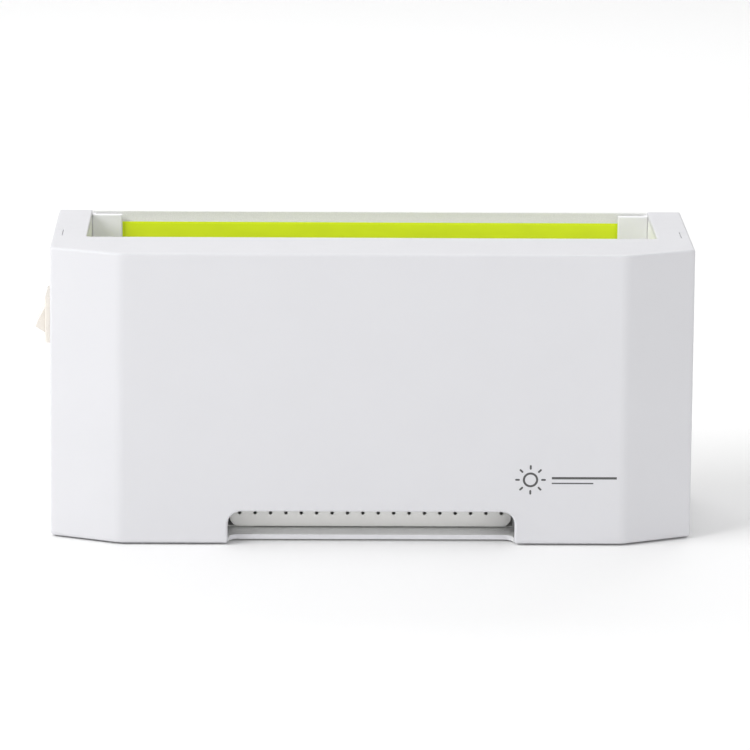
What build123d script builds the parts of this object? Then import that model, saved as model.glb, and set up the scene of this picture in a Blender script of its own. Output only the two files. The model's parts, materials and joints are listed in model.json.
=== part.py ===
from build123d import *
import math
import os

os.makedirs("parts", exist_ok=True)

# Insect light trap with a lift-out glue board.
# All lengths are in mm.  X runs to the viewer's right, Y to the back, Z up.
# The origin is the middle of the footprint, at the underside of the rubber feet.

# ---- overall housing ----
WIDTH = 300.0          # across the two side walls at the top rim
DEPTH = 90.0           # front face to back face
HEIGHT = 140.0         # housing alone, without the feet
FOOT_RISE = 0.8        # how far the feet lift the housing off the table
DRAFT = 1.5            # the housing is this much wider on each side at the bottom
WALL = 2.2             # side and front wall thickness
ROOF = 2.4             # thickness of the top rim
FACE_HALF = 117.2      # half width of the flat front face at the top
CHAMFER_DEPTH = 12.5   # how far back the angled corners reach
FACE_EDGE_RADIUS = 11.0    # soft edge between the front face and an angled corner
CORNER_EDGE_RADIUS = 2.0
RIM_EDGE_RADIUS = 1.2
FOOT_EDGE_RADIUS = 1.7
OPENING_HALF = 134.0   # half width of the opening in the top
OPENING_FRONT = 34.3   # front edge of the opening, measured from the front face
OPENING_CORNER = 1.5
OPENING_EDGE_RADIUS = 0.6
NOTCH_HALF = 67.5      # half width of the low notch in the front face
NOTCH_HEIGHT = 15.7
NOTCH_CORNER = 6.3     # radius of its two upper corners
NOTCH_FOOT_RADIUS = 1.0
OVER = 1.0             # cuts run this far past a face
JOIN = 0.5             # joined shapes reach this far into each other

FRONT_Y = -DEPTH / 2
REAR_Y = DEPTH / 2
SHELL_BOTTOM = FOOT_RISE
SHELL_TOP = FOOT_RISE + HEIGHT
ROOF_UNDERSIDE = SHELL_TOP - ROOF
CHAMFER_ANGLE = math.atan2(CHAMFER_DEPTH, WIDTH / 2 - FACE_HALF)

# ---- rear case ----
REAR_WALL = 2.4
REAR_WALL_HALF = 147.4
REAR_TONGUE_HALF = 133.6   # the part of the back wall seen inside the opening
FLOOR_BOTTOM = SHELL_BOTTOM + 0.2
FLOOR_TOP = SHELL_BOTTOM + 2.4
FLOOR_GAP = 0.7            # between the floor edge and the shell wall
LIP_SETBACK = 7.0          # floor edge behind the front face, inside the notch
LIP_CORNER = 4.5

# ---- inner liner that makes the catching well ----
LINER_HALF = 134.0         # half width between its side walls
LINER_WALL = 1.6
PARTITION_FRONT = 32.2
PARTITION_BACK = 34.0
LINER_FLOOR_BOTTOM = 15.0
LINER_FLOOR_TOP = 16.8
LINER_TOP = ROOF_UNDERSIDE - 0.2
FLANGE_TOP = 130.4
FLANGE_THICK = 1.8
FLANGE_FRONT = 22.5
WINDOW_HALF = 105.0
WINDOW_BOTTOM = 60.0
WINDOW_TOP = 90.0
DROP_SLOT_HALF = 60.0

# ---- glue board and its guides ----
GUIDE_INNER = 119.5
GUIDE_OUTER = 133.95
GUIDE_TOP = SHELL_TOP - 1.0
GUIDE_FRONT = 84.6
GUIDE_PLATE = 1.3
GUIDE_WEB = 1.6
GUIDE_EDGE_RADIUS = 0.7
BOARD_HALF = 131.5
BOARD_BOTTOM = 17.2
BOARD_TOP = 136.0
BOARD_FRONT = 86.4
BOARD_THICK = 0.8
BOARD_CORNER = 1.5
GLUE_THICK = 0.2
GLUE_HALF = 118.4
GLUE_TOP = 135.1
GLUE_BOTTOM = 22.0

# ---- catch tray ----
TRAY_HALF = 67.0
TRAY_FRONT = 17.5
TRAY_BACK = 80.0
TRAY_BOTTOM = SHELL_BOTTOM + 3.1
TRAY_TOP = SHELL_BOTTOM + 13.4
TRAY_WALL = 1.6
TRAY_CORNER = 4.9          # lower corners
TRAY_SHOULDER = 4.0        # upper corners of its front and cross wall
TRAY_SIDE_TOP = SHELL_BOTTOM + 11.6
TRAY_VENT_WALL = 0.6       # the front is this thin around the holes
TRAY_VENT_HALF = 1.6
TRAY_HOLE_COUNT = 18
TRAY_HOLE_PITCH = 7.3
TRAY_HOLE_RADIUS = 0.85
TRAY_HOLE_HEIGHT = SHELL_BOTTOM + 9.8
TRAY_DIVIDER = 31.0        # cross wall between the vented front and the pocket
TRAY_EDGE_RADIUS = 0.6
RAIL_PLAY = 0.5            # between the tray and a rail
RAIL_THICK = 1.6
RAIL_TALL = 6.0
RAIL_FRONT = 20.0
RAIL_BACK = 82.0
RUNNER_INNER = 55.0
STOP_INNER = 58.0

# ---- rocker switch on the left side wall ----
SWITCH_DEPTH_CENTRE = 29.5     # behind the front face
SWITCH_HEIGHT = SHELL_BOTTOM + 103.6
SEAT_X = -150.2                # flat seat milled into the drafted side wall
BEZEL_THICK = 2.8
BEZEL_TALL = 21.6
BEZEL_DEEP = 24.0
SWITCH_BODY_TALL = 19.2
SWITCH_BODY_DEEP = 21.8
SWITCH_BODY_BACK = -138.7
PIVOT_X = -150.1
ROCKER_TILT = 27.0             # degrees, lower end standing out
ROCKER_FACE = 5.2              # pivot to the flat face
ROCKER_HALF = 6.64             # half length of the flat face
ROCKER_WIDE = 18.8
ROCKER_PIN = 1.2
ROCKER_WELL = 8.85             # radius swept clear inside the switch body

# ---- light unit behind the front face ----
LIGHT_HALF = 114.0
LIGHT_BOTTOM = 53.0
LIGHT_TOP = 97.0
LIGHT_FRONT = 18.0
LIGHT_WALL = 1.6
LIGHT_MIDDLE = 75.0
LED_COUNT = 12
LED_PITCH = 15.0
LED_BOARD_FRONT = 24.4
LED_BOARD_BACK = 26.0

# ---- driver board ----
DRIVER_LEFT = -112.0
DRIVER_RIGHT = -42.0
DRIVER_BOTTOM = 22.0
DRIVER_TOP = 46.0
DRIVER_FRONT = 26.0
DRIVER_BACK = 27.6

# ---- power inlet in the back wall ----
INLET_X = -100.0
INLET_Z = 9.6
INLET_BARREL = 4.3
INLET_BORE = 2.9
INLET_FRONT_END = 72.0

# ---- fasteners ----
SCREW_SHANK = 1.45
SCREW_HOLE = 1.55
SMALL_SHANK = 1.2
SMALL_HOLE = 1.3
BOARD_HOLE = 1.5
BOSS_X = 143.2
BOSS_RADIUS = 3.7
BOSS_HEIGHTS = (21.0, 127.0)
LINER_SCREW_X = (-100.0, -35.0, 35.0, 100.0)
LINER_SCREW_DEPTH = 27.4
LUG_X = 118.5
WIRE_RADIUS = 0.9


def behind(distance):
    """Y of a plane lying this far behind the front face."""
    return FRONT_Y + distance


def block(x_min, x_max, y_min, y_max, z_min, z_max, mode=Mode.ADD):
    """Add or cut an upright box given by its six faces."""
    middle = ((x_min + x_max) / 2, (y_min + y_max) / 2, (z_min + z_max) / 2)
    with Locations(middle):
        Box(x_max - x_min, y_max - y_min, z_max - z_min, mode=mode)


def rod_y(x, z, radius, y_min, y_max, mode=Mode.ADD):
    """Add or cut a round bar that runs front to back."""
    with Locations(Location((x, (y_min + y_max) / 2, z), (90, 0, 0))):
        Cylinder(radius, y_max - y_min, mode=mode)


def rod_z(x, y, radius, z_min, z_max, mode=Mode.ADD):
    """Add or cut an upright round bar."""
    with Locations((x, y, (z_min + z_max) / 2)):
        Cylinder(radius, z_max - z_min, mode=mode)


def housing_outline(spread, inset, rear_y):
    """Plan outline of the housing, moved inwards by inset."""
    face = FACE_HALF + spread - inset * math.tan(CHAMFER_ANGLE / 2)
    side = WIDTH / 2 + spread - inset
    front = FRONT_Y + inset
    corner = FRONT_Y + CHAMFER_DEPTH + inset * math.tan(math.pi / 4 - CHAMFER_ANGLE / 2)
    return [
        (-face, front),
        (face, front),
        (side, corner),
        (side, rear_y),
        (-side, rear_y),
        (-side, corner),
    ]


def is_upright(edge):
    return edge.bounding_box().size.Z > HEIGHT / 2


# =====================================================================
# Housing shell: front face, angled corners, side walls and top rim
# =====================================================================
SLIT_X = 145.6             # outline of a snap tab in each side rim
SLIT_FRONT = 36.0
SLIT_BACK = 48.0
SLIT_DEEP = 0.8
SLIT_HALF = 0.2
SEAM_WIDE = 0.2
HOOD_HALF = 70.0           # hood behind the notch, above the tray front
HOOD_BOTTOM = SHELL_BOTTOM + 16.6
HOOD_TOP = HOOD_BOTTOM + 1.4
HOOD_LIP_BOTTOM = TRAY_TOP + 0.6
HOOD_BACK = TRAY_FRONT - 0.4
HOOD_LIP_FRONT = HOOD_BACK - 1.6
BOSS_FRONT = 58.0          # rear-case bosses
BOSS_DRILL = 70.0
BOSS_WEB_HALF = 1.0
BOSS_WEB_END = WIDTH / 2 - 0.4
RIM_BOSS_RADIUS = 3.4
RIB_PLACES = (-50.0, 0.0, 50.0)
RIB_THICK_HALF = 0.8
RIB_BACK = 7.0
RIB_FOOT = 30.0
SEAT_PLAY = 0.3
CUT_OUT_PLAY = 0.2

with BuildPart() as housing_shell:
    with BuildSketch(Plane.XY.offset(SHELL_BOTTOM)):
        Polygon(*housing_outline(DRAFT, 0.0, REAR_Y), align=None)
    with BuildSketch(Plane.XY.offset(SHELL_TOP)):
        Polygon(*housing_outline(0.0, 0.0, REAR_Y), align=None)
    loft()
    upright = housing_shell.edges().filter_by(is_upright)
    fillet(upright.filter_by(lambda e: e.center().Y < FRONT_Y + 1.0), FACE_EDGE_RADIUS)
    upright = housing_shell.edges().filter_by(is_upright)
    middle_corner = FRONT_Y + CHAMFER_DEPTH
    fillet(upright.filter_by(lambda e: abs(e.center().Y - middle_corner) < 1.0), CORNER_EDGE_RADIUS)
    rim_edges = housing_shell.edges().group_by(Axis.Z)[-1]
    fillet(rim_edges.filter_by(lambda e: e.center().Y < REAR_Y - 0.1), RIM_EDGE_RADIUS)
    low_edges = housing_shell.edges().group_by(Axis.Z)[0]
    fillet(low_edges.filter_by(lambda e: e.center().Y < REAR_Y - 0.1), FOOT_EDGE_RADIUS)
    # hollow, open at the back and underneath
    with BuildSketch(Plane.XY.offset(SHELL_BOTTOM)):
        Polygon(*housing_outline(DRAFT, WALL, REAR_Y + OVER), align=None)
    with BuildSketch(Plane.XY.offset(ROOF_UNDERSIDE)):
        Polygon(*housing_outline(0.0, WALL, REAR_Y + OVER), align=None)
    loft(mode=Mode.SUBTRACT)
    # opening in the top
    cut_rear = REAR_Y + 2 * OPENING_CORNER
    with BuildSketch(Plane.XY.offset(ROOF_UNDERSIDE - OVER)):
        with Locations((0, (behind(OPENING_FRONT) + cut_rear) / 2)):
            Rectangle(2 * OPENING_HALF, cut_rear - behind(OPENING_FRONT))
        fillet(vertices().group_by(Axis.Y)[0], OPENING_CORNER)
    extrude(amount=ROOF + 2 * OVER, mode=Mode.SUBTRACT)
    opening_edges = housing_shell.edges().group_by(Axis.Z)[-1]
    opening_edges = opening_edges.filter_by(lambda e: abs(e.center().X) < OPENING_HALF + 0.1)
    opening_edges = opening_edges.filter_by(lambda e: e.center().Y > behind(OPENING_FRONT) - 0.1)
    fillet(opening_edges, OPENING_EDGE_RADIUS)
    # notch over the catch tray
    with BuildSketch(Plane.XZ.offset(-FRONT_Y + OVER)):
        with Locations((0, SHELL_BOTTOM + (NOTCH_HEIGHT - OVER) / 2)):
            Rectangle(2 * NOTCH_HALF, NOTCH_HEIGHT + OVER)
        fillet(vertices().group_by(Axis.Y)[-1], NOTCH_CORNER)
    extrude(amount=-(WALL + 2 * OVER), mode=Mode.SUBTRACT)
    foot_edges = housing_shell.edges().filter_by(Axis.Y)
    foot_edges = foot_edges.filter_by(lambda e: abs(abs(e.center().X) - NOTCH_HALF) < 0.1)
    fillet(foot_edges.group_by(Axis.Z)[0], NOTCH_FOOT_RADIUS)
    # hood over the notch, with a lip that closes the gap above the tray
    block(-HOOD_HALF, HOOD_HALF, behind(WALL - JOIN), behind(HOOD_BACK), HOOD_BOTTOM, HOOD_TOP)
    block(-HOOD_HALF, HOOD_HALF, behind(HOOD_LIP_FRONT), behind(HOOD_BACK), HOOD_LIP_BOTTOM, HOOD_TOP)
    # bosses for the screws that hold the rear case
    for side in (-1, 1):
        for height in BOSS_HEIGHTS:
            rod_y(side * BOSS_X, height, BOSS_RADIUS, behind(BOSS_FRONT), REAR_Y - REAR_WALL)
            web = sorted((side * BOSS_X, side * BOSS_WEB_END))
            block(web[0], web[1], behind(BOSS_FRONT), REAR_Y - REAR_WALL,
                  height - BOSS_WEB_HALF, height + BOSS_WEB_HALF)
            rod_y(side * BOSS_X, height, SCREW_HOLE, behind(BOSS_DRILL), REAR_Y + OVER,
                  mode=Mode.SUBTRACT)
    # bosses under the rim for the liner screws
    for x in LINER_SCREW_X:
        rod_z(x, behind(LINER_SCREW_DEPTH), RIM_BOSS_RADIUS, FLANGE_TOP, ROOF_UNDERSIDE + JOIN)
        rod_z(x, behind(LINER_SCREW_DEPTH), SCREW_HOLE, FLANGE_TOP - OVER, ROOF_UNDERSIDE - OVER,
              mode=Mode.SUBTRACT)
    # stiffening ribs behind the front face
    for x in RIB_PLACES:
        block(x - RIB_THICK_HALF, x + RIB_THICK_HALF, behind(WALL - JOIN), behind(RIB_BACK),
              RIB_FOOT, ROOF_UNDERSIDE + JOIN)
    # seat and cut-out for the switch
    switch_y = behind(SWITCH_DEPTH_CENTRE)
    seat_deep = BEZEL_DEEP / 2 + SEAT_PLAY
    seat_tall = BEZEL_TALL / 2 + SEAT_PLAY
    block(SEAT_X - 2 * DRAFT, SEAT_X, switch_y - seat_deep, switch_y + seat_deep,
          SWITCH_HEIGHT - seat_tall, SWITCH_HEIGHT + seat_tall, mode=Mode.SUBTRACT)
    hole_deep = SWITCH_BODY_DEEP / 2 + CUT_OUT_PLAY
    hole_tall = SWITCH_BODY_TALL / 2 + CUT_OUT_PLAY
    block(SEAT_X - OVER, SEAT_X + 2 * WALL, switch_y - hole_deep, switch_y + hole_deep,
          SWITCH_HEIGHT - hole_tall, SWITCH_HEIGHT + hole_tall, mode=Mode.SUBTRACT)
    # snap tab outlines in the side rims
    for side in (-1, 1):
        slit = sorted((side * (SLIT_X - SLIT_HALF), side * (SLIT_X + SLIT_HALF)))
        block(slit[0], slit[1], behind(SLIT_FRONT), behind(SLIT_BACK),
              SHELL_TOP - SLIT_DEEP, SHELL_TOP + OVER, mode=Mode.SUBTRACT)
        seam = sorted((side * SLIT_X, side * (WIDTH / 2 + OVER)))
        block(seam[0], seam[1], behind(SLIT_BACK - SEAM_WIDE), behind(SLIT_BACK),
              SHELL_TOP - SLIT_DEEP, SHELL_TOP + OVER, mode=Mode.SUBTRACT)
housing_shell.part.label = "housing_shell"
export_step(housing_shell.part, "parts/housing_shell.step")

# =====================================================================
# Printed mark on the front face: a ring of rays and two plain rules
# =====================================================================
INK_THICK = 0.06
MARK_X = 74.5
MARK_Z = 32.6
RING_OUTER = 3.6
RING_INNER = 2.6
RAY_COUNT = 8
RAY_START = 5.0
RAY_LENGTH = 2.2
RAY_WIDE = 0.9
# each rule: left, right, bottom and top
RULES = ((84.5, 115.0, 32.9, 34.0), (84.5, 104.0, 30.6, 31.2))

with BuildPart() as front_mark:
    with BuildSketch(Plane.XZ.offset(-FRONT_Y)):
        with Locations((MARK_X, MARK_Z)):
            Circle(RING_OUTER)
            Circle(RING_INNER, mode=Mode.SUBTRACT)
            with PolarLocations(RAY_START + RAY_LENGTH / 2, RAY_COUNT):
                SlotOverall(RAY_LENGTH, RAY_WIDE)
        for left, right, bottom, top in RULES:
            with Locations(((left + right) / 2, (bottom + top) / 2)):
                Rectangle(right - left, top - bottom)
    extrude(amount=INK_THICK)
front_mark.part.label = "front_mark"
export_step(front_mark.part, "parts/front_mark.step")

# =====================================================================
# Rear case: back wall and floor
# =====================================================================
KEYHOLE_X = 141.6
KEYHOLE_Z = 92.0
KEYHOLE_RISE = 8.0
KEYHOLE_ENTRY = 4.2        # radius of the round entry
KEYHOLE_SLOT = 2.1         # half width of the slot above it
HEAD_RECESS = 3.3
HEAD_DEEP = 1.2
SHANK_HOLE = 1.7
RECESS_X = 7.3
RECESS_Z = 4.5
PAD_FRONT = 84.0
PAD_HALF = 9.0
PAD_TOP = LINER_FLOOR_BOTTOM - 0.6
RIB_HALF = 110.0
RIB_DEEP_HALF = 2.5
LIP_PLAY = 0.3

with BuildPart() as rear_case:
    with BuildSketch(Plane.XY.offset(FLOOR_BOTTOM)):
        Polygon(*housing_outline(DRAFT, WALL + FLOOR_GAP, REAR_Y - 0.5), align=None)
    extrude(amount=FLOOR_TOP - FLOOR_BOTTOM)
    block(-REAR_WALL_HALF, REAR_WALL_HALF, REAR_Y - REAR_WALL, REAR_Y,
          FLOOR_BOTTOM, ROOF_UNDERSIDE - 0.3)
    block(-REAR_TONGUE_HALF, REAR_TONGUE_HALF, REAR_Y - REAR_WALL, REAR_Y,
          FLOOR_BOTTOM, SHELL_TOP - 0.1)
    # rib that carries the middle of the floor, level with the feet
    block(-RIB_HALF, RIB_HALF, -RIB_DEEP_HALF, RIB_DEEP_HALF, 0.0, FLOOR_BOTTOM)
    # pad around the power inlet
    block(INLET_X - PAD_HALF, INLET_X + PAD_HALF, behind(PAD_FRONT), REAR_Y - JOIN,
          FLOOR_TOP - JOIN, PAD_TOP)
    # the front edge of the floor steps back inside the notch
    with BuildSketch(Plane.XY.offset(FLOOR_BOTTOM - OVER)):
        with Locations((0, behind(0.0))):
            Rectangle(2 * (NOTCH_HALF - LIP_PLAY), 2 * LIP_SETBACK)
        fillet(vertices().group_by(Axis.Y)[-1], LIP_CORNER)
    extrude(amount=FLOOR_TOP - FLOOR_BOTTOM + 2 * OVER, mode=Mode.SUBTRACT)
    # screw holes with recesses for the heads
    wall_front = REAR_Y - REAR_WALL - OVER
    for side in (-1, 1):
        for height in BOSS_HEIGHTS:
            rod_y(side * BOSS_X, height, SHANK_HOLE, wall_front, REAR_Y + OVER, mode=Mode.SUBTRACT)
            rod_y(side * BOSS_X, height, HEAD_RECESS, REAR_Y - HEAD_DEEP, REAR_Y + OVER,
                  mode=Mode.SUBTRACT)
    # keyholes for hanging on a wall
    for side in (-1, 1):
        x = side * KEYHOLE_X
        slot_top = KEYHOLE_Z + KEYHOLE_RISE
        rod_y(x, KEYHOLE_Z, KEYHOLE_ENTRY, wall_front, REAR_Y + OVER, mode=Mode.SUBTRACT)
        rod_y(x, slot_top, KEYHOLE_SLOT, wall_front, REAR_Y + OVER, mode=Mode.SUBTRACT)
        block(x - KEYHOLE_SLOT, x + KEYHOLE_SLOT, wall_front, REAR_Y + OVER, KEYHOLE_Z, slot_top,
              mode=Mode.SUBTRACT)
    # recess and hole for the power inlet
    block(INLET_X - RECESS_X, INLET_X + RECESS_X, REAR_Y - REAR_WALL, REAR_Y + OVER,
          INLET_Z - RECESS_Z, INLET_Z + RECESS_Z, mode=Mode.SUBTRACT)
    rod_y(INLET_X, INLET_Z, INLET_BARREL + 0.1, behind(PAD_FRONT) - OVER, REAR_Y, mode=Mode.SUBTRACT)
rear_case.part.label = "rear_case"
export_step(rear_case.part, "parts/rear_case.step")

# =====================================================================
# Inner liner: the well behind the light unit
# =====================================================================
LINER_REAR = REAR_Y - REAR_WALL - 0.3
FLANGE_SHORTER = 20.0      # the flange stops this far inside the liner's ends
LUG_SEAT_RADIUS = 4.0
LUG_SEAT_FRONT = 28.2      # also the rear face of the light unit's lugs
STANDOFF_RADIUS = 2.8
STANDOFF_EDGE = 4.0        # from the driver board's edges
DROP_SLOT_FRONT = 40.0
DROP_SLOT_BACK = 77.0
CLEAR_HOLE = 1.7           # radius of a clearance hole for a screw shank
STANDOFF_POINTS = (
    (DRIVER_LEFT + STANDOFF_EDGE, DRIVER_BOTTOM + STANDOFF_EDGE),
    (DRIVER_LEFT + STANDOFF_EDGE, DRIVER_TOP - STANDOFF_EDGE),
    (DRIVER_RIGHT - STANDOFF_EDGE, DRIVER_BOTTOM + STANDOFF_EDGE),
    (DRIVER_RIGHT - STANDOFF_EDGE, DRIVER_TOP - STANDOFF_EDGE),
)

with BuildPart() as inner_liner:
    outer_half = LINER_HALF + LINER_WALL
    block(-outer_half, outer_half, behind(PARTITION_FRONT), behind(PARTITION_BACK),
          LINER_FLOOR_BOTTOM, LINER_TOP)
    block(-outer_half, outer_half, behind(PARTITION_FRONT), LINER_REAR,
          LINER_FLOOR_BOTTOM, LINER_FLOOR_TOP)
    for side in (-1, 1):
        wall = sorted((side * LINER_HALF, side * outer_half))
        block(wall[0], wall[1], behind(PARTITION_FRONT), LINER_REAR, LINER_FLOOR_BOTTOM, LINER_TOP)
    # fixing flange under the front rim
    flange_half = outer_half - FLANGE_SHORTER
    flange_bottom = FLANGE_TOP - FLANGE_THICK
    block(-flange_half, flange_half, behind(FLANGE_FRONT), behind(PARTITION_BACK),
          flange_bottom, FLANGE_TOP)
    for x in LINER_SCREW_X:
        rod_z(x, behind(LINER_SCREW_DEPTH), CLEAR_HOLE, flange_bottom - OVER, FLANGE_TOP + OVER,
              mode=Mode.SUBTRACT)
    # seats for the light unit lugs and the driver board
    for side in (-1, 1):
        rod_y(side * LUG_X, LIGHT_MIDDLE, LUG_SEAT_RADIUS, behind(LUG_SEAT_FRONT),
              behind(PARTITION_FRONT + JOIN))
        rod_y(side * LUG_X, LIGHT_MIDDLE, SCREW_HOLE, behind(LUG_SEAT_FRONT - OVER),
              behind(PARTITION_BACK - OVER), mode=Mode.SUBTRACT)
    for x, z in STANDOFF_POINTS:
        rod_y(x, z, STANDOFF_RADIUS, behind(DRIVER_BACK), behind(PARTITION_FRONT + JOIN))
        rod_y(x, z, SMALL_HOLE, behind(DRIVER_BACK - OVER), behind(PARTITION_BACK - OVER),
              mode=Mode.SUBTRACT)
    # window for the light and slot over the catch tray
    block(-WINDOW_HALF, WINDOW_HALF, behind(PARTITION_FRONT - OVER), behind(PARTITION_BACK + OVER),
          WINDOW_BOTTOM, WINDOW_TOP, mode=Mode.SUBTRACT)
    block(-DROP_SLOT_HALF, DROP_SLOT_HALF, behind(DROP_SLOT_FRONT), behind(DROP_SLOT_BACK),
          LINER_FLOOR_BOTTOM - OVER, LINER_FLOOR_TOP + OVER, mode=Mode.SUBTRACT)
inner_liner.part.label = "inner_liner"
export_step(inner_liner.part, "parts/inner_liner.step")

# =====================================================================
# Guides for the glue board
# =====================================================================
def make_guide(side):
    """Channel on one side of the back wall; the board's edge runs inside it."""
    with BuildPart() as guide:
        plate = sorted((side * GUIDE_INNER, side * GUIDE_OUTER))
        block(plate[0], plate[1], behind(GUIDE_FRONT), behind(GUIDE_FRONT + GUIDE_PLATE),
              LINER_FLOOR_TOP, GUIDE_TOP)
        web = sorted((side * (GUIDE_OUTER - GUIDE_WEB), side * GUIDE_OUTER))
        block(web[0], web[1], behind(GUIDE_FRONT), REAR_Y - REAR_WALL, LINER_FLOOR_TOP, GUIDE_TOP)
        front_edges = guide.edges().group_by(Axis.Y)[0]
        fillet(front_edges.filter_by(lambda e: e.center().Z > LINER_FLOOR_TOP + 1.0), GUIDE_EDGE_RADIUS)
    return guide.part


sheet_guide_left = make_guide(-1)
sheet_guide_left.label = "sheet_guide_left"
export_step(sheet_guide_left, "parts/sheet_guide_left.step")
sheet_guide_right = make_guide(1)
sheet_guide_right.label = "sheet_guide_right"
export_step(sheet_guide_right, "parts/sheet_guide_right.step")

# =====================================================================
# Glue board: stiff card with a glue film on its face
# =====================================================================
with BuildPart() as glue_board:
    block(-BOARD_HALF, BOARD_HALF, behind(BOARD_FRONT), behind(BOARD_FRONT + BOARD_THICK),
          BOARD_BOTTOM, BOARD_TOP)
    fillet(glue_board.edges().filter_by(Axis.Y), BOARD_CORNER)
glue_board.part.label = "glue_board"
export_step(glue_board.part, "parts/glue_board.step")

with BuildPart() as adhesive_layer:
    block(-GLUE_HALF, GLUE_HALF, behind(BOARD_FRONT - GLUE_THICK), behind(BOARD_FRONT),
          GLUE_BOTTOM, GLUE_TOP)
adhesive_layer.part.label = "adhesive_layer"
export_step(adhesive_layer.part, "parts/adhesive_layer.step")

# =====================================================================
# Catch tray and its rails
# =====================================================================
def tray_outline():
    """Cross-section of the tray: upper corners follow the notch, lower ones are rounder."""
    with Locations((0, (TRAY_BOTTOM + TRAY_TOP) / 2)):
        Rectangle(2 * TRAY_HALF, TRAY_TOP - TRAY_BOTTOM)
    fillet(vertices().group_by(Axis.Y)[0], TRAY_CORNER)
    fillet(vertices().group_by(Axis.Y)[-1].filter_by(lambda v: abs(v.X) > TRAY_HALF - 0.1), TRAY_SHOULDER)


with BuildPart() as catch_tray:
    with BuildSketch(Plane.XZ.offset(-behind(TRAY_FRONT))):
        tray_outline()
    extrude(amount=-(TRAY_BACK - TRAY_FRONT))
    fillet(catch_tray.faces().sort_by(Axis.Y)[0].edges(), TRAY_EDGE_RADIUS)
    # hollow, open at the top
    tray_hollow = TRAY_TOP + OVER - TRAY_BOTTOM - TRAY_WALL
    with BuildSketch(Plane.XZ.offset(-behind(TRAY_FRONT + TRAY_WALL))):
        with Locations((0, TRAY_TOP + OVER - tray_hollow / 2)):
            Rectangle(2 * (TRAY_HALF - TRAY_WALL), tray_hollow)
        fillet(vertices().group_by(Axis.Y)[0], TRAY_CORNER - TRAY_WALL)
    extrude(amount=-(TRAY_BACK - TRAY_FRONT - 2 * TRAY_WALL), mode=Mode.SUBTRACT)
    # lower side and back walls, so that they pass through the notch
    block(-TRAY_HALF - OVER, TRAY_HALF + OVER, behind(TRAY_FRONT + TRAY_WALL), behind(TRAY_BACK + OVER),
          TRAY_SIDE_TOP, TRAY_TOP + OVER, mode=Mode.SUBTRACT)
    # cross wall
    with BuildSketch(Plane.XZ.offset(-behind(TRAY_DIVIDER))):
        tray_outline()
    extrude(amount=-TRAY_WALL)
    # the front is thinner along the row of holes
    vent_half = TRAY_HOLE_PITCH * TRAY_HOLE_COUNT / 2
    block(-vent_half, vent_half, behind(TRAY_FRONT + TRAY_VENT_WALL), behind(TRAY_FRONT + TRAY_WALL + OVER),
          TRAY_HOLE_HEIGHT - TRAY_VENT_HALF, TRAY_HOLE_HEIGHT + TRAY_VENT_HALF, mode=Mode.SUBTRACT)
    for index in range(TRAY_HOLE_COUNT):
        x = (index - (TRAY_HOLE_COUNT - 1) / 2) * TRAY_HOLE_PITCH
        rod_y(x, TRAY_HOLE_HEIGHT, TRAY_HOLE_RADIUS, behind(TRAY_FRONT - OVER),
              behind(TRAY_FRONT + TRAY_WALL + OVER), mode=Mode.SUBTRACT)
catch_tray.part.label = "catch_tray"
export_step(catch_tray.part, "parts/catch_tray.step")

with BuildPart() as tray_rails:
    rail_inner = TRAY_HALF + RAIL_PLAY
    rail_outer = rail_inner + RAIL_THICK
    rail_top = FLOOR_TOP + RAIL_TALL
    runner_top = TRAY_BOTTOM - 0.3
    for side in (-1, 1):
        fence = sorted((side * rail_inner, side * rail_outer))
        block(fence[0], fence[1], behind(RAIL_FRONT), behind(RAIL_BACK), FLOOR_TOP, rail_top)
        runner = sorted((side * RUNNER_INNER, side * rail_outer))
        block(runner[0], runner[1], behind(RAIL_FRONT), behind(RAIL_BACK), FLOOR_TOP, runner_top)
        stop = sorted((side * STOP_INNER, side * rail_outer))
        block(stop[0], stop[1], behind(TRAY_BACK + RAIL_PLAY), behind(RAIL_BACK), FLOOR_TOP, rail_top)
tray_rails.part.label = "tray_rails"
export_step(tray_rails.part, "parts/tray_rails.step")

# =====================================================================
# Light unit
# =====================================================================
LED_SCREW_X = 97.0
POST_RADIUS = 3.0
LUG_FRONT = 26.2
LUG_END_X = LUG_X + 4.0
LUG_TALL_HALF = 5.0
FEED_GAP = (-103.0, -95.0, 20.4, 23.6)     # left, right, front and back of the way in
LED_BOARD_HALF = 104.0
LED_BOARD_TALL_HALF = 11.0
LED_PACKAGE_HALF = 2.5
LED_PACKAGE_TOP = LED_BOARD_BACK + 1.1
LED_DOME_RADIUS = 1.8
LED_DOME_BASE = LED_BOARD_BACK + 1.5
REFLECTOR_HALF = 92.0
REFLECTOR_TALL_HALF = 9.0
REFLECTOR_BACK = 30.2
TROUGH_NARROW = (86.5, 4.0)    # half sizes of the trough at the LEDs
TROUGH_WIDE = (91.0, 8.0)      # half sizes of the trough at its mouth
LENS_FLANGE = 3.0
LENS_FLANGE_FRONT = 30.6
LENS_PLAY = 0.3
GROOVE_COUNT = 34
GROOVE_PITCH = 6.2
GROOVE_HALF = 0.5
GROOVE_DEEP = 0.5

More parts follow.
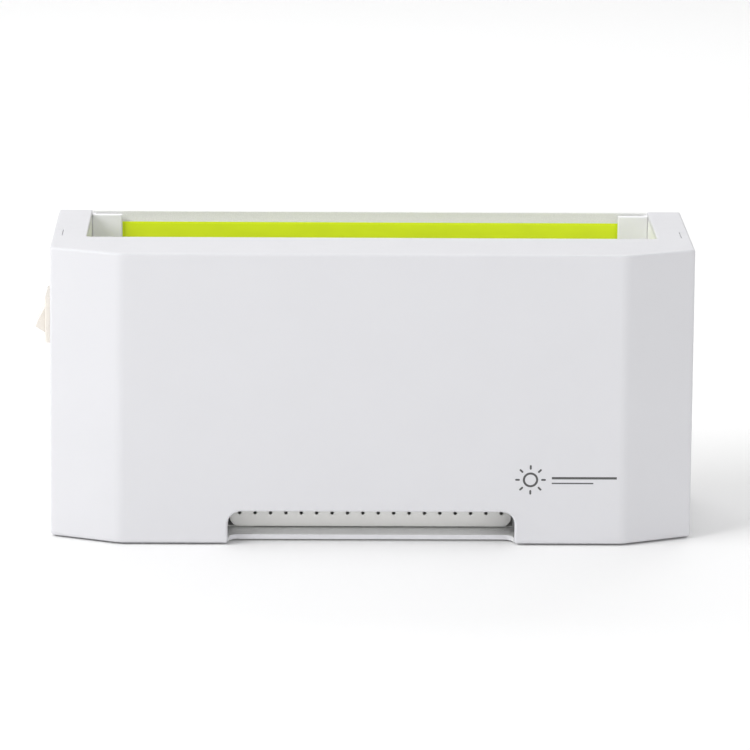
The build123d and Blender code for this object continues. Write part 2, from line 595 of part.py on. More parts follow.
with BuildPart() as light_housing:
    block(-LIGHT_HALF, LIGHT_HALF, behind(LIGHT_FRONT), behind(PARTITION_FRONT),
          LIGHT_BOTTOM, LIGHT_TOP)
    block(-LIGHT_HALF + LIGHT_WALL, LIGHT_HALF - LIGHT_WALL, behind(LIGHT_FRONT + LIGHT_WALL),
          behind(PARTITION_FRONT + 1.0), LIGHT_BOTTOM + LIGHT_WALL, LIGHT_TOP - LIGHT_WALL,
          mode=Mode.SUBTRACT)
    for side in (-1, 1):
        rod_y(side * LED_SCREW_X, LIGHT_MIDDLE, POST_RADIUS, behind(LIGHT_FRONT + JOIN),
              behind(LED_BOARD_FRONT))
        rod_y(side * LED_SCREW_X, LIGHT_MIDDLE, SMALL_HOLE, behind(LIGHT_FRONT + LIGHT_WALL),
              behind(LED_BOARD_FRONT + OVER), mode=Mode.SUBTRACT)
        lug = sorted((side * (LIGHT_HALF - JOIN), side * LUG_END_X))
        block(lug[0], lug[1], behind(LUG_FRONT), behind(LUG_SEAT_FRONT),
              LIGHT_MIDDLE - LUG_TALL_HALF, LIGHT_MIDDLE + LUG_TALL_HALF)
        rod_y(side * LUG_X, LIGHT_MIDDLE, CLEAR_HOLE, behind(LUG_FRONT - OVER),
              behind(LUG_SEAT_FRONT + OVER), mode=Mode.SUBTRACT)
    # way in for the feed wires
    left, right, front, back = FEED_GAP
    block(left, right, behind(front), behind(back), LIGHT_BOTTOM - OVER,
          LIGHT_BOTTOM + LIGHT_WALL + OVER, mode=Mode.SUBTRACT)
light_housing.part.label = "light_housing"
export_step(light_housing.part, "parts/light_housing.step")

with BuildPart() as led_board:
    block(-LED_BOARD_HALF, LED_BOARD_HALF, behind(LED_BOARD_FRONT), behind(LED_BOARD_BACK),
          LIGHT_MIDDLE - LED_BOARD_TALL_HALF, LIGHT_MIDDLE + LED_BOARD_TALL_HALF)
    for side in (-1, 1):
        rod_y(side * LED_SCREW_X, LIGHT_MIDDLE, BOARD_HOLE, behind(LED_BOARD_FRONT - OVER),
              behind(LED_BOARD_BACK + OVER), mode=Mode.SUBTRACT)
led_board.part.label = "led_board"
export_step(led_board.part, "parts/led_board.step")

with BuildPart() as uv_leds:
    for index in range(LED_COUNT):
        x = (index - (LED_COUNT - 1) / 2) * LED_PITCH
        block(x - LED_PACKAGE_HALF, x + LED_PACKAGE_HALF, behind(LED_BOARD_BACK),
              behind(LED_PACKAGE_TOP), LIGHT_MIDDLE - LED_PACKAGE_HALF, LIGHT_MIDDLE + LED_PACKAGE_HALF)
        rod_y(x, LIGHT_MIDDLE, LED_DOME_RADIUS, behind(LED_BOARD_BACK), behind(LED_DOME_BASE))
        with Locations((x, behind(LED_DOME_BASE), LIGHT_MIDDLE)):
            Sphere(LED_DOME_RADIUS - 0.01)
        # the dome's underside stops at the board
        block(x - LED_DOME_RADIUS, x + LED_DOME_RADIUS, behind(LED_BOARD_BACK - OVER),
              behind(LED_BOARD_BACK), LIGHT_MIDDLE - LED_DOME_RADIUS, LIGHT_MIDDLE + LED_DOME_RADIUS,
              mode=Mode.SUBTRACT)
uv_leds.part.label = "uv_leds"
export_step(uv_leds.part, "parts/uv_leds.step")

with BuildPart() as reflector:
    block(-REFLECTOR_HALF, REFLECTOR_HALF, behind(LED_BOARD_BACK), behind(REFLECTOR_BACK),
          LIGHT_MIDDLE - REFLECTOR_TALL_HALF, LIGHT_MIDDLE + REFLECTOR_TALL_HALF)
    for depth, mouth in ((LED_BOARD_BACK, TROUGH_NARROW), (REFLECTOR_BACK, TROUGH_WIDE)):
        with BuildSketch(Plane.XZ.offset(-behind(depth))):
            with Locations((0, LIGHT_MIDDLE)):
                Rectangle(2 * mouth[0], 2 * mouth[1])
    loft(mode=Mode.SUBTRACT)
reflector.part.label = "reflector"
export_step(reflector.part, "parts/reflector.step")

with BuildPart() as diffuser_lens:
    block(-WINDOW_HALF - LENS_FLANGE, WINDOW_HALF + LENS_FLANGE, behind(LENS_FLANGE_FRONT),
          behind(PARTITION_FRONT), WINDOW_BOTTOM - LENS_FLANGE, WINDOW_TOP + LENS_FLANGE)
    block(-WINDOW_HALF + LENS_PLAY, WINDOW_HALF - LENS_PLAY, behind(PARTITION_FRONT - JOIN),
          behind(PARTITION_BACK), WINDOW_BOTTOM + LENS_PLAY, WINDOW_TOP - LENS_PLAY)
    for index in range(GROOVE_COUNT):
        x = (index - (GROOVE_COUNT - 1) / 2) * GROOVE_PITCH
        block(x - GROOVE_HALF, x + GROOVE_HALF, behind(PARTITION_BACK - GROOVE_DEEP),
              behind(PARTITION_BACK + OVER), WINDOW_BOTTOM - OVER, WINDOW_TOP + OVER,
              mode=Mode.SUBTRACT)
diffuser_lens.part.label = "diffuser_lens"
export_step(diffuser_lens.part, "parts/diffuser_lens.step")

# =====================================================================
# Driver board and its components
# =====================================================================
DRIVER_MIDDLE = (DRIVER_BOTTOM + DRIVER_TOP) / 2
COIL_X = -82.0
COIL_FRONT = 18.0
COIL_RADIUS = 6.2
COIL_WAIST_FRONT = 19.4
COIL_WAIST_BACK = 24.6
COIL_WAIST_RADIUS = 4.6
CAN_PLACES = (-70.0, -60.0)
CAN_RADIUS = 4.0
CAN_FRONT = 15.0
CAN_EDGE_RADIUS = 0.5

with BuildPart() as driver_board:
    block(DRIVER_LEFT, DRIVER_RIGHT, behind(DRIVER_FRONT), behind(DRIVER_BACK),
          DRIVER_BOTTOM, DRIVER_TOP)
    for x, z in STANDOFF_POINTS:
        rod_y(x, z, BOARD_HOLE, behind(DRIVER_FRONT - OVER), behind(DRIVER_BACK + OVER),
              mode=Mode.SUBTRACT)
driver_board.part.label = "driver_board"
export_step(driver_board.part, "parts/driver_board.step")

with BuildPart() as driver_inductor:
    rod_y(COIL_X, DRIVER_MIDDLE, COIL_RADIUS, behind(COIL_FRONT), behind(DRIVER_FRONT))
    rod_y(COIL_X, DRIVER_MIDDLE, COIL_RADIUS + OVER, behind(COIL_WAIST_FRONT),
          behind(COIL_WAIST_BACK), mode=Mode.SUBTRACT)
    rod_y(COIL_X, DRIVER_MIDDLE, COIL_WAIST_RADIUS, behind(COIL_WAIST_FRONT), behind(COIL_WAIST_BACK))
driver_inductor.part.label = "driver_inductor"
export_step(driver_inductor.part, "parts/driver_inductor.step")

with BuildPart() as driver_capacitors:
    for x in CAN_PLACES:
        rod_y(x, DRIVER_MIDDLE, CAN_RADIUS, behind(CAN_FRONT), behind(DRIVER_FRONT))
    fillet(driver_capacitors.edges().group_by(Axis.Y)[0], CAN_EDGE_RADIUS)
driver_capacitors.part.label = "driver_capacitors"
export_step(driver_capacitors.part, "parts/driver_capacitors.step")

# each chip: left, right, bottom, top and how far it stands off the board
CHIP = (-54.0, -48.5, 31.0, 37.0, 1.6)
DIODE = (-53.5, -49.0, 25.0, 27.8, 2.1)
with BuildPart() as driver_chips:
    for left, right, bottom, top, tall in (CHIP, DIODE):
        block(left, right, behind(DRIVER_FRONT - tall), behind(DRIVER_FRONT), bottom, top)
driver_chips.part.label = "driver_chips"
export_step(driver_chips.part, "parts/driver_chips.step")

BLOCK_LEFT = -105.0
BLOCK_RIGHT = -93.0
BLOCK_FRONT = 17.0
BLOCK_BOTTOM = 27.0
BLOCK_TOP = 41.0
BLOCK_SCREW_X = (-102.0, -96.0)
BLOCK_SCREW_Z = (31.0, 37.0)
BLOCK_SCREW_DEEP = 1.2
with BuildPart() as terminal_block:
    block(BLOCK_LEFT, BLOCK_RIGHT, behind(BLOCK_FRONT), behind(DRIVER_FRONT), BLOCK_BOTTOM, BLOCK_TOP)
    for z in BLOCK_SCREW_Z:
        for x in BLOCK_SCREW_X:
            rod_y(x, z, BOARD_HOLE, behind(BLOCK_FRONT - OVER), behind(BLOCK_FRONT + BLOCK_SCREW_DEEP),
                  mode=Mode.SUBTRACT)
terminal_block.part.label = "terminal_block"
export_step(terminal_block.part, "parts/terminal_block.step")

# =====================================================================
# Rocker switch
# =====================================================================
BEZEL_EDGE_RADIUS = 0.7
WEDGE_FRONT = -147.4
WEDGE_BACK = -143.4
WEDGE_DEEP_HALF = 4.0
WEDGE_RISE = 0.8
ROCKER_SIDE_PLAY = 0.4
PIN_PLAY = 0.06
PIN_HALF = 10.3            # half length of the pins, end to end
ROCKER_BULGE = 0.46        # how much longer the rocker is at its pivot than at its face
ROCKER_TAIL = 2.5
ROCKER_TAIL_HALF = 4.5
ROCKER_EDGE_RADIUS = 0.3


def rocker_point(out, along):
    """Point of the tilted rocker: out from the pivot, along its flat face."""
    tilt = math.radians(ROCKER_TILT)
    x = PIVOT_X - out * math.cos(tilt) + along * math.sin(tilt)
    z = SWITCH_HEIGHT + out * math.sin(tilt) + along * math.cos(tilt)
    return (x, z)


with BuildPart() as switch_body:
    block(SEAT_X - BEZEL_THICK, SEAT_X, switch_y - BEZEL_DEEP / 2, switch_y + BEZEL_DEEP / 2,
          SWITCH_HEIGHT - BEZEL_TALL / 2, SWITCH_HEIGHT + BEZEL_TALL / 2)
    fillet(switch_body.faces().sort_by(Axis.X)[0].edges(), BEZEL_EDGE_RADIUS)
    block(SEAT_X, SWITCH_BODY_BACK, switch_y - SWITCH_BODY_DEEP / 2, switch_y + SWITCH_BODY_DEEP / 2,
          SWITCH_HEIGHT - SWITCH_BODY_TALL / 2, SWITCH_HEIGHT + SWITCH_BODY_TALL / 2)
    # snap wedges behind the side wall
    for side in (-1, 1):
        wedge = sorted((side * (SWITCH_BODY_TALL / 2 - JOIN), side * (SWITCH_BODY_TALL / 2 + WEDGE_RISE)))
        block(WEDGE_FRONT, WEDGE_BACK, switch_y - WEDGE_DEEP_HALF, switch_y + WEDGE_DEEP_HALF,
              SWITCH_HEIGHT + wedge[0], SWITCH_HEIGHT + wedge[1])
    # well for the rocker and bearings for its pins
    well_half = ROCKER_WIDE / 2 + ROCKER_SIDE_PLAY
    rod_y(PIVOT_X, SWITCH_HEIGHT, ROCKER_WELL, switch_y - well_half, switch_y + well_half,
          mode=Mode.SUBTRACT)
    bearing_half = PIN_HALF + 0.3
    rod_y(PIVOT_X, SWITCH_HEIGHT, ROCKER_PIN + PIN_PLAY, switch_y - bearing_half,
          switch_y + bearing_half, mode=Mode.SUBTRACT)
switch_body.part.label = "switch_body"
export_step(switch_body.part, "parts/switch_body.step")

with BuildPart() as switch_rocker:
    with BuildSketch(Plane.XZ.offset(-switch_y)):
        Polygon(
            rocker_point(ROCKER_FACE, -ROCKER_HALF),
            rocker_point(ROCKER_FACE, ROCKER_HALF),
            rocker_point(0.0, ROCKER_HALF + ROCKER_BULGE),
            rocker_point(-ROCKER_TAIL, ROCKER_TAIL_HALF),
            rocker_point(-ROCKER_TAIL, -ROCKER_TAIL_HALF),
            rocker_point(0.0, -ROCKER_HALF - ROCKER_BULGE),
            align=None,
        )
    extrude(amount=ROCKER_WIDE / 2, both=True)
    lever_edges = switch_rocker.edges().filter_by(Axis.Y).sort_by(Axis.X)
    fillet(lever_edges[0:1], ROCKER_EDGE_RADIUS)
    rod_y(PIVOT_X, SWITCH_HEIGHT, ROCKER_PIN, switch_y - PIN_HALF, switch_y + PIN_HALF)
switch_rocker.part.label = "switch_rocker"
export_step(switch_rocker.part, "parts/switch_rocker.step")

BLADE_END = -131.5
BLADE_Y = behind(28.0)
BLADE_RISE = 5.5
BLADE_HALF = 2.4
BLADE_THICK_HALF = 0.4
with BuildPart() as switch_contacts:
    for side in (-1, 1):
        z = SWITCH_HEIGHT + side * BLADE_RISE
        block(SWITCH_BODY_BACK, BLADE_END, BLADE_Y - BLADE_HALF, BLADE_Y + BLADE_HALF,
              z - BLADE_THICK_HALF, z + BLADE_THICK_HALF)
switch_contacts.part.label = "switch_contacts"
export_step(switch_contacts.part, "parts/switch_contacts.step")

# =====================================================================
# Power inlet in the back wall
# =====================================================================
PLATE_PLAY = 0.3
PLATE_SUNK = 0.6           # the inlet's plate sits this far below the back face
BORE_END = REAR_Y - 11.0
with BuildPart() as power_inlet:
    plate_x = RECESS_X - PLATE_PLAY
    plate_z = RECESS_Z - PLATE_PLAY
    block(INLET_X - plate_x, INLET_X + plate_x, REAR_Y - REAR_WALL, REAR_Y - PLATE_SUNK,
          INLET_Z - plate_z, INLET_Z + plate_z)
    rod_y(INLET_X, INLET_Z, INLET_BARREL, behind(INLET_FRONT_END), REAR_Y - REAR_WALL + JOIN)
    rod_y(INLET_X, INLET_Z, INLET_BORE, BORE_END, REAR_Y, mode=Mode.SUBTRACT)
power_inlet.part.label = "power_inlet"
export_step(power_inlet.part, "parts/power_inlet.step")

LUG_SPREAD = 3.0
LUG_END = 69.0
LUG_WIDE_HALF = 1.1
LUG_THICK_HALF = 0.3
INLET_PIN = 1.0
with BuildPart() as inlet_contacts:
    rod_y(INLET_X, INLET_Z, INLET_PIN, BORE_END, REAR_Y - 2.0)
    for side in (-1, 1):
        x = INLET_X + side * LUG_SPREAD
        block(x - LUG_WIDE_HALF, x + LUG_WIDE_HALF, behind(LUG_END), behind(INLET_FRONT_END),
              INLET_Z - LUG_THICK_HALF, INLET_Z + LUG_THICK_HALF)
inlet_contacts.part.label = "inlet_contacts"
export_step(inlet_contacts.part, "parts/inlet_contacts.step")

NUT_FLAT_RADIUS = 5.1
NUT_THICK = 2.6
with BuildPart() as inlet_nut:
    with BuildSketch(Plane.XZ.offset(-behind(PAD_FRONT))):
        with Locations((INLET_X, INLET_Z)):
            RegularPolygon(NUT_FLAT_RADIUS, 6, major_radius=False)
            Circle(INLET_BARREL + 0.05, mode=Mode.SUBTRACT)
    extrude(amount=NUT_THICK)
inlet_nut.part.label = "inlet_nut"
export_step(inlet_nut.part, "parts/inlet_nut.step")

# =====================================================================
# Rubber feet and screws
# =====================================================================
FOOT_X = 122.0
FOOT_FRONT_Y = -26.0
FOOT_REAR_Y = 32.0
FOOT_RADIUS = 6.0
with BuildPart() as rubber_feet:
    for x in (-FOOT_X, FOOT_X):
        for y in (FOOT_FRONT_Y, FOOT_REAR_Y):
            rod_z(x, y, FOOT_RADIUS, 0.0, FLOOR_BOTTOM)
    fillet(rubber_feet.edges().group_by(Axis.Z)[0], 0.4)
rubber_feet.part.label = "rubber_feet"
export_step(rubber_feet.part, "parts/rubber_feet.step")

HEAD_RADIUS = 2.9
HEAD_TALL = 1.6
SMALL_HEAD_RADIUS = 2.4
SMALL_HEAD_TALL = 1.5
SHANK_INTO_HEAD = 0.1
REAR_SCREW_TIP = BOSS_DRILL + 4.0
PARTITION_TIP = PARTITION_BACK - 1.2
CROSS_DEEP = 0.7
CROSS_ARM = 2.0
CROSS_HALF = 0.3
with BuildPart() as rear_screws:
    for side in (-1, 1):
        x = side * BOSS_X
        for height in BOSS_HEIGHTS:
            head_front = REAR_Y - HEAD_DEEP
            rod_y(x, height, HEAD_RADIUS, head_front, REAR_Y - 0.1)
            rod_y(x, height, SCREW_SHANK, behind(REAR_SCREW_TIP), head_front + SHANK_INTO_HEAD)
            for wide, tall in ((CROSS_ARM, CROSS_HALF), (CROSS_HALF, CROSS_ARM)):
                block(x - wide, x + wide, REAR_Y - CROSS_DEEP, REAR_Y, height - tall, height + tall,
                      mode=Mode.SUBTRACT)
rear_screws.part.label = "rear_screws"
export_step(rear_screws.part, "parts/rear_screws.step")

with BuildPart() as liner_screws:
    for x in LINER_SCREW_X:
        under = FLANGE_TOP - FLANGE_THICK
        rod_z(x, behind(LINER_SCREW_DEPTH), HEAD_RADIUS, under - HEAD_TALL, under)
        rod_z(x, behind(LINER_SCREW_DEPTH), SCREW_SHANK, under - SHANK_INTO_HEAD, FLANGE_TOP + 6.0)
liner_screws.part.label = "liner_screws"
export_step(liner_screws.part, "parts/liner_screws.step")

with BuildPart() as light_screws:
    for side in (-1, 1):
        rod_y(side * LUG_X, LIGHT_MIDDLE, HEAD_RADIUS, behind(LUG_FRONT - HEAD_TALL), behind(LUG_FRONT))
        rod_y(side * LUG_X, LIGHT_MIDDLE, SCREW_SHANK, behind(LUG_FRONT - SHANK_INTO_HEAD),
              behind(PARTITION_TIP))
        x = side * LED_SCREW_X
        rod_y(x, LIGHT_MIDDLE, SMALL_HEAD_RADIUS, behind(LED_BOARD_BACK),
              behind(LED_BOARD_BACK + SMALL_HEAD_TALL))
        rod_y(x, LIGHT_MIDDLE, SMALL_SHANK, behind(LIGHT_FRONT + 2.0),
              behind(LED_BOARD_BACK + SHANK_INTO_HEAD))
light_screws.part.label = "light_screws"
export_step(light_screws.part, "parts/light_screws.step")

with BuildPart() as driver_screws:
    for x, z in STANDOFF_POINTS:
        rod_y(x, z, SMALL_HEAD_RADIUS, behind(DRIVER_FRONT - SMALL_HEAD_TALL), behind(DRIVER_FRONT))
        rod_y(x, z, SMALL_SHANK, behind(DRIVER_FRONT - SHANK_INTO_HEAD), behind(PARTITION_TIP))
driver_screws.part.label = "driver_screws"
export_step(driver_screws.part, "parts/driver_screws.step")

# =====================================================================
# Internal wires and the clips that hold them
# =====================================================================
def make_wire(points, bend):
    """Round wire along a line whose corners are rounded by the given radii."""
    with BuildPart() as wire:
        with BuildLine() as path:
            FilletPolyline(*points, radius=bend)
        with BuildSketch(Plane(origin=path.line @ 0, z_dir=path.line % 0)):
            Circle(WIRE_RADIUS)
        sweep()
    return wire.part


CLIMB_Y = BLADE_Y
CLIMB_X = (-128.5, -125.0)
BLOCK_LANE_Y = behind(21.0)    # the wires meet the terminal block at this depth
BLOCK_LANE_Z = 36.0
FLOOR_BEND = 12.0
BLADE_BENDS = (2.6, 5.5)
BLOCK_BEND = 3.2
LOW_BLADE = SWITCH_HEIGHT - BLADE_RISE
HIGH_BLADE = SWITCH_HEIGHT + BLADE_RISE

wire_inlet_switch = make_wire(
    [
        (INLET_X - LUG_SPREAD, behind(LUG_END), INLET_Z),
        (INLET_X - LUG_SPREAD, CLIMB_Y, INLET_Z),
        (CLIMB_X[0], CLIMB_Y, INLET_Z),
        (CLIMB_X[0], CLIMB_Y, LOW_BLADE),
        (BLADE_END, CLIMB_Y, LOW_BLADE),
    ],
    (FLOOR_BEND, FLOOR_BEND, BLADE_BENDS[0]),
)
wire_inlet_switch.label = "wire_inlet_switch"
export_step(wire_inlet_switch, "parts/wire_inlet_switch.step")

wire_switch_driver = make_wire(
    [
        (BLADE_END, CLIMB_Y, HIGH_BLADE),
        (CLIMB_X[1], CLIMB_Y, HIGH_BLADE),
        (CLIMB_X[1], CLIMB_Y, BLOCK_LANE_Z),
        (CLIMB_X[1], BLOCK_LANE_Y, BLOCK_LANE_Z),
        (BLOCK_LEFT, BLOCK_LANE_Y, BLOCK_LANE_Z),
    ],
    (BLADE_BENDS[1], BLOCK_BEND, BLOCK_BEND),
)
wire_switch_driver.label = "wire_switch_driver"
export_step(wire_switch_driver, "parts/wire_switch_driver.step")

wire_inlet_driver = make_wire(
    [
        (INLET_X + LUG_SPREAD, behind(LUG_END), INLET_Z),
        (INLET_X + LUG_SPREAD, BLOCK_LANE_Y, INLET_Z),
        (INLET_X + LUG_SPREAD, BLOCK_LANE_Y, BLOCK_BOTTOM),
    ],
    FLOOR_BEND,
)
wire_inlet_driver.label = "wire_inlet_driver"
export_step(wire_inlet_driver, "parts/wire_inlet_driver.step")

FEED_Y = behind(22.0)
FEED_PLACES = (-101.0, -97.0)
FEED_HEIGHT = 67.0
FEED_BEND = 2.0
for index, x in enumerate(FEED_PLACES):
    name = "wire_led_feed_" + "ab"[index]
    feed = make_wire(
        [(x, FEED_Y, BLOCK_TOP), (x, FEED_Y, FEED_HEIGHT), (x, behind(LED_BOARD_FRONT), FEED_HEIGHT)],
        FEED_BEND,
    )
    feed.label = name
    export_step(feed, "parts/" + name + ".step")

CLIP_HOLE = WIRE_RADIUS + 0.1
CLIP_HEIGHTS = (45.0, 85.0)
CLIP_TALL_HALF = 3.0
CLIP_SIDE = 2.4            # plastic beside an outer wire's middle
CLIP_FRONT = 26.2
FLOOR_CLIP = (48.0, 54.0)
FLOOR_CLIP_HALF = 6.0
with BuildPart() as wire_clips:
    for z in CLIP_HEIGHTS:
        block(CLIMB_X[0] - CLIP_SIDE, CLIMB_X[1] + CLIP_SIDE, behind(CLIP_FRONT),
              behind(PARTITION_FRONT), z - CLIP_TALL_HALF, z + CLIP_TALL_HALF)
        for x in CLIMB_X:
            rod_z(x, CLIMB_Y, CLIP_HOLE, z - CLIP_TALL_HALF - OVER, z + CLIP_TALL_HALF + OVER,
                  mode=Mode.SUBTRACT)
    front, back = FLOOR_CLIP
    block(INLET_X - FLOOR_CLIP_HALF, INLET_X + FLOOR_CLIP_HALF, behind(front), behind(back),
          FLOOR_TOP, INLET_Z + CLIP_SIDE)
    for side in (-1, 1):
        rod_y(INLET_X + side * LUG_SPREAD, INLET_Z, CLIP_HOLE, behind(front - OVER),
              behind(back + OVER), mode=Mode.SUBTRACT)
wire_clips.part.label = "wire_clips"
export_step(wire_clips.part, "parts/wire_clips.step")
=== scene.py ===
import json
import math

import bmesh
import bpy
from mathutils import Matrix, Vector


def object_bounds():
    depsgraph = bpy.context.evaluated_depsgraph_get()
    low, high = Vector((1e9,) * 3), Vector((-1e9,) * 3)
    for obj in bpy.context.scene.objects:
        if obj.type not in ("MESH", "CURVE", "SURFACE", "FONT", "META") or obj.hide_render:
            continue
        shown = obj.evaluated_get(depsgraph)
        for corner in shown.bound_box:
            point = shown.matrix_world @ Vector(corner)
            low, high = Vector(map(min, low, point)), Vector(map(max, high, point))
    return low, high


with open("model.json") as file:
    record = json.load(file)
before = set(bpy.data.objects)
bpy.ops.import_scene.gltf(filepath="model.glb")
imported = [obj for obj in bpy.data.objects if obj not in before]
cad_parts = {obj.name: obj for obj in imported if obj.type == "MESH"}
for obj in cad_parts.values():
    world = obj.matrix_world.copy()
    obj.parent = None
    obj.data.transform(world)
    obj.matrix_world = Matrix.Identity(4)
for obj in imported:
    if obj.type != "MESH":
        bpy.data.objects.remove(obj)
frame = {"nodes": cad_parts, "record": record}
cad_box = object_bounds()
nodes = frame["nodes"]
scene = bpy.context.scene

# ---------------------------------------------------------------------
# Camera: a long lens, a little above the top rim and a touch to the left
# ---------------------------------------------------------------------
CAMERA_PLACE = (-0.0357, -1.8182, 0.5695)
CAMERA_YAW = math.radians(1.19)
CAMERA_PITCH = math.radians(15.33)
CAMERA_ROLL = math.radians(0.52)
CAMERA_LENS = 189.8
SENSOR = 36.0

camera_data = bpy.data.cameras.new("camera")
camera_data.sensor_width = SENSOR
camera_data.lens = CAMERA_LENS
camera_data.clip_start = 0.01
camera_data.clip_end = 50.0
camera = bpy.data.objects.new("camera", camera_data)
scene.collection.objects.link(camera)
turn = Matrix.Rotation(-CAMERA_YAW, 4, "Z") @ Matrix.Rotation(math.pi / 2 - CAMERA_PITCH, 4, "X")
camera.matrix_world = Matrix.Translation(CAMERA_PLACE) @ turn @ Matrix.Rotation(CAMERA_ROLL, 4, "Z")
scene.camera = camera

MM = 0.001


# ---------------------------------------------------------------------
# Shader helpers
# ---------------------------------------------------------------------
class Shader:
    """A Principled material with short calls for the nodes it needs."""

    def __init__(self, name, roughness, **fixed):
        self.material = bpy.data.materials.new(name)
        self.material.use_nodes = True
        self.tree = self.material.node_tree
        self.tree.nodes.clear()
        self.output = self.tree.nodes.new("ShaderNodeOutputMaterial")
        self.shader = self.tree.nodes.new("ShaderNodeBsdfPrincipled")
        self.link(self.shader.outputs["BSDF"], self.output.inputs["Surface"])
        self.shader.inputs["Roughness"].default_value = roughness
        for key, value in fixed.items():
            self.shader.inputs[key.replace("_", " ")].default_value = value
        self.place = self.tree.nodes.new("ShaderNodeTexCoord").outputs["Object"]
        self.height = None

    def link(self, source, target):
        self.tree.links.new(source, target)

    def node(self, kind, **fields):
        made = self.tree.nodes.new(kind)
        for key, value in fields.items():
            setattr(made, key, value)
        return made

    def math(self, operation, first, second):
        made = self.node("ShaderNodeMath", operation=operation)
        for socket, value in zip(made.inputs, (first, second)):
            if isinstance(value, (int, float)):
                socket.default_value = value
            else:
                self.link(value, socket)
        return made.outputs["Value"]

    def stretched(self, scale):
        """Object coordinates multiplied by a scale for each axis."""
        mapping = self.node("ShaderNodeMapping")
        mapping.inputs["Scale"].default_value = scale
        self.link(self.place, mapping.inputs["Vector"])
        return mapping.outputs["Vector"]

    def noise(self, size, detail=4.0, rough=0.5, vector=None):
        """Noise whose features are about size metres across."""
        made = self.node("ShaderNodeTexNoise")
        made.inputs["Scale"].default_value = 1.0 / size
        made.inputs["Detail"].default_value = detail
        made.inputs["Roughness"].default_value = rough
        self.link(vector or self.place, made.inputs["Vector"])
        return made.outputs["Fac"]

    def cells(self, size, feature="F1", randomness=1.0, vector=None):
        made = self.node("ShaderNodeTexVoronoi", feature=feature)
        made.inputs["Scale"].default_value = 1.0 / size
        made.inputs["Randomness"].default_value = randomness
        self.link(vector or self.place, made.inputs["Vector"])
        return made.outputs["Distance"]

    def spread(self, value, low, high, start=0.0, end=1.0):
        """Map a value from start..end to low..high."""
        made = self.node("ShaderNodeMapRange")
        for key, number in (("From Min", start), ("From Max", end), ("To Min", low), ("To Max", high)):
            made.inputs[key].default_value = number
        self.link(value, made.inputs["Value"])
        return made.outputs["Result"]

    def blend(self, factor, first, second):
        """Mix of two colours or colour outputs by a factor output."""
        made = self.node("ShaderNodeMix", data_type="RGBA")
        self.link(factor, made.inputs[0])
        for socket, value in ((made.inputs[6], first), (made.inputs[7], second)):
            if isinstance(value, tuple):
                socket.default_value = (*value, 1.0)
            else:
                self.link(value, socket)
        return made.outputs[2]

    def colour(self, output):
        self.link(output, self.shader.inputs["Base Color"])

    def rough(self, value, low, high, start=0.3, end=0.7):
        self.link(self.spread(value, low, high, start, end), self.shader.inputs["Roughness"])

    def bump(self, value, depth):
        """Add relief, depth metres high; later calls lie on top of earlier ones."""
        made = self.node("ShaderNodeBump")
        made.inputs["Strength"].default_value = 1.0
        made.inputs["Distance"].default_value = depth
        self.link(value, made.inputs["Height"])
        if self.height:
            self.link(self.height, made.inputs["Normal"])
        self.height = made.outputs["Normal"]
        self.link(self.height, self.shader.inputs["Normal"])


def tint(colour, factor):
    return tuple(min(1.0, channel * factor) for channel in colour)


def moulded(name, colour, roughness, grain=0.25 * MM, depth=0.004 * MM, variation=0.02, **fixed):
    """Injection-moulded plastic: fine spark texture, faint flow mottling, uneven gloss."""
    made = Shader(name, roughness, **fixed)
    cloud = made.noise(35 * MM, detail=3.0)
    made.colour(made.blend(made.spread(cloud, 0.0, 1.0, 0.3, 0.7),
                           tint(colour, 1.0 - variation), tint(colour, 1.0 + variation)))
    fine = made.noise(grain, detail=2.0)
    made.rough(made.noise(6 * MM), roughness - 0.05, roughness + 0.05)
    made.bump(cloud, 0.03 * MM)
    made.bump(fine, depth)
    return made.material


# Front-facing case faces in front of LIP_LINE carry painted shade on the lip.
LIP_LINE = -30 * MM     # the case's trimmed floor edge lies in front of this


def grained(name, colour, lip_shade_colour, roughness, pebble=0.8 * MM, depth=0.05 * MM, valley=0.93):
    """Plastic with a leather-like grain of small flat pebbles; its front-facing lip in front of LIP_LINE
    takes a flat, darker colour that is painted shade.
    """
    made = Shader(name, roughness)
    warp = made.node("ShaderNodeVectorMath", operation="ADD")
    swirl = made.node("ShaderNodeTexNoise")
    swirl.inputs["Scale"].default_value = 1.0 / (3.0 * pebble)
    made.link(made.place, swirl.inputs["Vector"])
    shift = made.node("ShaderNodeVectorMath", operation="SCALE")
    shift.inputs["Scale"].default_value = 0.9 * pebble
    made.link(swirl.outputs["Color"], shift.inputs[0])
    made.link(made.place, warp.inputs[0])
    made.link(shift.outputs["Vector"], warp.inputs[1])
    seam = made.cells(pebble, feature="DISTANCE_TO_EDGE", vector=warp.outputs["Vector"])
    plateau = made.spread(seam, 0.0, 1.0, 0.0, 0.22)
    face = made.blend(plateau, tint(colour, valley), colour)
    place = made.node("ShaderNodeSeparateXYZ")
    made.link(made.place, place.inputs["Vector"])
    facing = made.node("ShaderNodeSeparateXYZ")
    made.link(made.node("ShaderNodeNewGeometry").outputs["True Normal"], facing.inputs["Vector"])
    # Painted shade: front-facing faces in front of LIP_LINE take the darker lip colour in place of the
    # grain colour.
    lip_shade_mask = made.math("MULTIPLY", made.math("LESS_THAN", place.outputs["Y"], LIP_LINE),
                        made.math("LESS_THAN", facing.outputs["Y"], -0.5))
    made.colour(made.blend(lip_shade_mask, face, lip_shade_colour))
    made.rough(plateau, roughness + 0.12, roughness, 0.0, 1.0)
    made.bump(plateau, depth)
    made.bump(made.noise(0.2 * MM, detail=2.0), 0.004 * MM)
    return made.material


def metal(name, colour, roughness, stretch=(1.0, 1.0, 1.0)):
    """Plated metal with fine directional scratches."""
    made = Shader(name, roughness, Metallic=1.0)
    scratch = made.noise(0.25 * MM, detail=6.0, vector=made.stretched(stretch))
    made.colour(made.blend(scratch, tint(colour, 0.85), tint(colour, 1.1)))
    made.rough(scratch, roughness - 0.08, roughness + 0.1)
    made.bump(scratch, 0.004 * MM)
    return made.material


